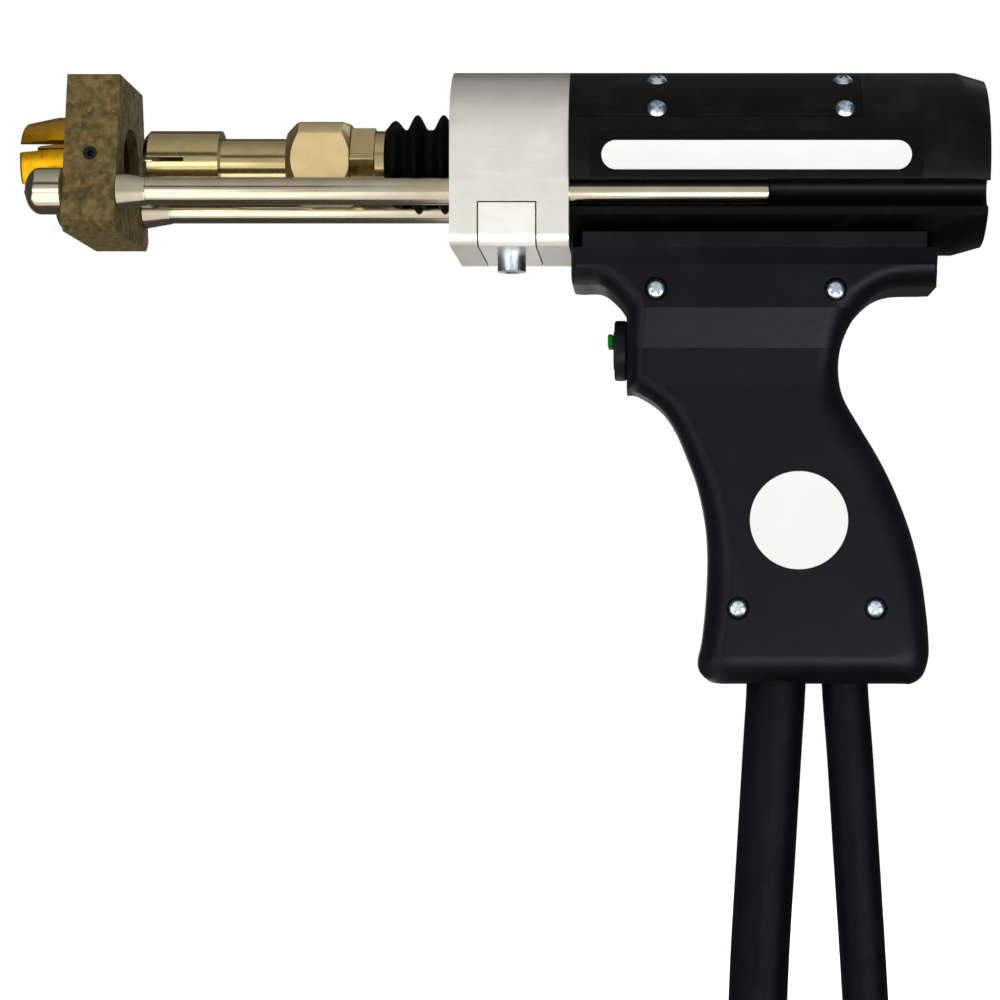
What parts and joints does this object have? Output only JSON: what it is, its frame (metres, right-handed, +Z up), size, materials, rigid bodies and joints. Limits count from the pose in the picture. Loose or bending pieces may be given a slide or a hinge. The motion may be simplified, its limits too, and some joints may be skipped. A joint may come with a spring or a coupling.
{
  "type": "stud welder",
  "caption": "Hand-held drawn-arc stud welding gun with pistol grip, solenoid-lifted sprung chuck, sliding support legs with ferrule foot, trigger and two leads.",
  "frame": {"origin": "middle of the hand grip, on the gun's middle plane", "axes": "+X to the rear, away from the stud; +Y to the gun's right side; +Z up along the grip"},
  "size_m": [0.4505, 0.242, 0.3895],
  "materials": {
    "milled_aluminium": "milled, fine tool marks",
    "bearing_bronze": "turned",
    "zinc_screw": "bluish zinc plate",
    "black_oxide_screw": "black oxide",
    "black_housing": "satin",
    "black_grip": "satin, fine texture",
    "label_black": "satin film",
    "label_white": "satin film",
    "trigger_green": "gloss",
    "insert_brass": "knurled",
    "ferrule_brass": "turned",
    "chuck_nickel": "pale nickel plate",
    "leg_steel": "polished",
    "foot_laminate": "sawn cotton laminate",
    "black_rubber": "matt",
    "spring_steel": "drawn wire",
    "soft_iron": "zinc plate",
    "copper": "bare copper",
    "bobbin_nylon": "moulded",
    "coil_enamel": "enamelled copper wire",
    "cable_rubber": "satin",
    "plug_rubber": "moulded"
  },
  "bodies": {
    "gun": {"front_flange": "milled_aluminium", "front_bush": "bearing_bronze", "guide_plate": "bearing_bronze", "cover_screws": "zinc_screw", "grip_screws": "zinc_screw", "flange_screws": "black_oxide_screw", "rear_cap_screws": "black_oxide_screw", "saddle_screws": "black_oxide_screw", "barrel_housing": "black_housing", "top_cover": "black_housing", "rear_cap": "black_housing", "saddle": "black_housing", "trigger_bezel": "black_housing", "trigger_nut": "black_housing", "trigger_switch": "black_housing", "grip_shell_left": "black_grip", "grip_shell_right": "black_grip", "label_film": "label_black", "label_strip": "label_white", "grip_badge": "label_white", "grip_inserts": "insert_brass", "bellows": "black_rubber", "cable_grommets": "black_rubber", "return_spring": "spring_steel", "trigger_spring": "spring_steel", "solenoid_yoke": "soft_iron", "solenoid_pole": "soft_iron", "current_braid": "copper", "current_lug": "copper", "solenoid_bobbin": "bobbin_nylon", "terminal_block": "bobbin_nylon", "cable_clamp": "bobbin_nylon", "solenoid_coil": "coil_enamel", "welding_cable": "cable_rubber", "welding_cable_coil": "cable_rubber", "control_cable": "cable_rubber", "control_cable_coil": "cable_rubber", "control_wires": "cable_rubber", "welding_plug": "plug_rubber", "control_plug": "plug_rubber"},
    "spindle_unit": {"spindle": "soft_iron", "spring_seat": "soft_iron", "current_clamp": "copper", "armature": "soft_iron", "armature_ring": "spring_steel", "bellows_collar": "chuck_nickel", "lock_nut": "chuck_nickel", "chuck_adapter": "chuck_nickel", "chuck": "chuck_nickel"},
    "foot_unit": {"leg_left": "leg_steel", "leg_right": "leg_steel", "leg_nuts": "leg_steel", "foot_plate": "foot_laminate", "ferrule_grip": "ferrule_brass", "ferrule_set_screw": "black_oxide_screw"},
    "trigger": {"trigger_button": "black_housing", "trigger_bar": "trigger_green"},
    "leg_clamp": {"clamp_bar": "milled_aluminium"},
    "leg_clamp_screw": {"clamp_screw": "black_oxide_screw"}
  },
  "joints": [
    {"name": "spindle_slide", "type": "slide", "parent": "gun", "child": "spindle_unit", "axis": [1, 0, 0], "range_m": [0, 0.008], "stiffness_N_per_m": 3000, "springref_m": -0.01, "deforming": ["bellows", "return_spring", "current_braid"]},
    {"name": "foot_slide", "type": "slide", "parent": "gun", "child": "foot_unit", "axis": [1, 0, 0], "range_m": [-0.04, 0.03]},
    {"name": "trigger_press", "type": "slide", "parent": "gun", "child": "trigger", "axis": [1, 0, 0], "range_m": [0, 0.002], "stiffness_N_per_m": 400, "springref_m": -0.003, "deforming": ["trigger_spring"]},
    {"name": "clamp_bar_drop", "type": "slide", "parent": "gun", "child": "leg_clamp", "axis": [0, 0, -1], "range_m": [0, 0.001]},
    {"name": "clamp_screw_turn", "type": "hinge", "parent": "leg_clamp", "child": "leg_clamp_screw", "pos_m": [-0.07895, 0, 0.065], "axis": [0, 0, -1], "range_deg": [0, 451]}
  ],
  "couplings": [
    {"joint": "clamp_screw_turn", "follows": "clamp_bar_drop", "rad_per_m": 7854}
  ]
}
